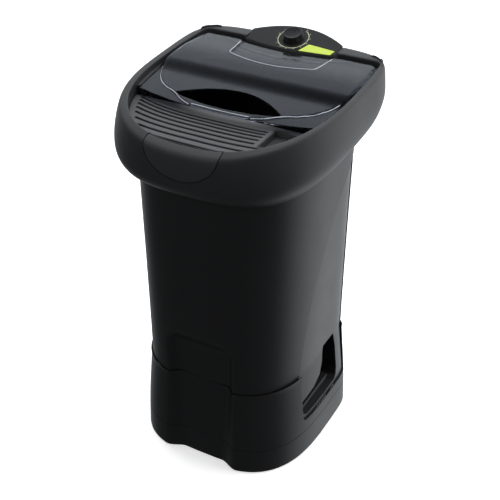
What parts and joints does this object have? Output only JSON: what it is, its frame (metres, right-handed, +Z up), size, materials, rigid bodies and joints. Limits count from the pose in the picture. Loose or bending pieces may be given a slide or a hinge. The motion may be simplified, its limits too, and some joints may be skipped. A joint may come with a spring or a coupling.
{
  "type": "semi-automatic washing machine",
  "caption": "Top-loading plastic washing machine with a clear hinged lid, a built-in washboard, a rear timer console and a belt-driven agitator.",
  "frame": {"origin": "centre of the machine's footprint box, on the floor", "axes": "+Z up, -Y towards the front with the washboard, +X to the right, seen from the front"},
  "size_m": [0.475, 0.5171, 0.8702],
  "materials": {
    "body": "satin charcoal polypropylene with a fine moulded texture",
    "frame": "satin charcoal polypropylene, slightly smoother than the body",
    "lid": "clear smoke-tinted polystyrene, glossy",
    "black": "black plastic, satin",
    "lime": "printed lime-green strip, semi-gloss",
    "steel": "zinc-plated steel",
    "aluminium": "die-cast aluminium",
    "brass": "sintered bronze",
    "rubber": "black rubber",
    "white": "natural white plastic"
  },
  "bodies": {
    "machine": {"cabinet": "body", "base_skirt": "body", "base_ring": "body", "foot_1": "rubber", "foot_2": "rubber", "foot_3": "rubber", "foot_4": "rubber", "side_panel_right": "body", "side_panel_left": "body", "rear_cover": "body", "cover_screw_1": "steel", "cover_screw_2": "steel", "cover_screw_3": "steel", "cover_screw_4": "steel", "front_plate": "frame", "console_housing": "frame", "top_frame": "frame", "hinge_pin_left": "steel", "hinge_pin_right": "steel", "console_fascia": "black", "accent_strip": "lime", "timer_body": "white", "timer_screw_1": "steel", "timer_screw_2": "steel", "tub": "body", "shaft_hub": "aluminium", "lower_bush": "brass", "upper_bush": "brass", "shaft_seal": "rubber", "drive_belt": "rubber", "motor_bottom_bell": "aluminium", "motor_top_bell": "aluminium", "motor_stator": "steel", "motor_bracket": "steel", "rubber_mount_1": "rubber", "rubber_mount_2": "rubber", "rubber_mount_3": "rubber", "rubber_mount_4": "rubber", "capacitor": "white", "drain_grate": "black", "drain_hose": "rubber", "drain_spigot": "black", "cord_gland": "rubber", "washboard": "frame", "soap_dish": "frame"},
    "lid": {"lid": "lid"},
    "knob": {"timer_knob": "black", "timer_shaft": "steel"},
    "agitator": {"agitator": "white", "drive_shaft": "steel", "agitator_screw": "steel", "driven_pulley": "white"},
    "motor_rotor": {"motor_rotor": "steel", "motor_pulley": "aluminium"}
  },
  "joints": [
    {"name": "lid_hinge", "type": "hinge", "parent": "machine", "child": "lid", "pos_m": [0, 0.168, 0.8337], "axis": [-1, 0, 0], "range_deg": [0, 95]},
    {"name": "timer_turn", "type": "hinge", "parent": "machine", "child": "knob", "pos_m": [-0.006, 0.221, 0.84865], "axis": [0, 0.3159, -0.9488], "range_deg": [0, 300]},
    {"name": "agitator_spin", "type": "hinge", "parent": "machine", "child": "agitator", "pos_m": [0, -0.02, 0.3], "axis": [0, 0, 1], "continuous": true},
    {"name": "motor_spin", "type": "hinge", "parent": "machine", "child": "motor_rotor", "pos_m": [0, 0.098, 0.3], "axis": [0, 0, 1], "continuous": true}
  ],
  "couplings": [
    {"joint": "motor_spin", "follows": "agitator_spin", "ratio": 5.19}
  ]
}
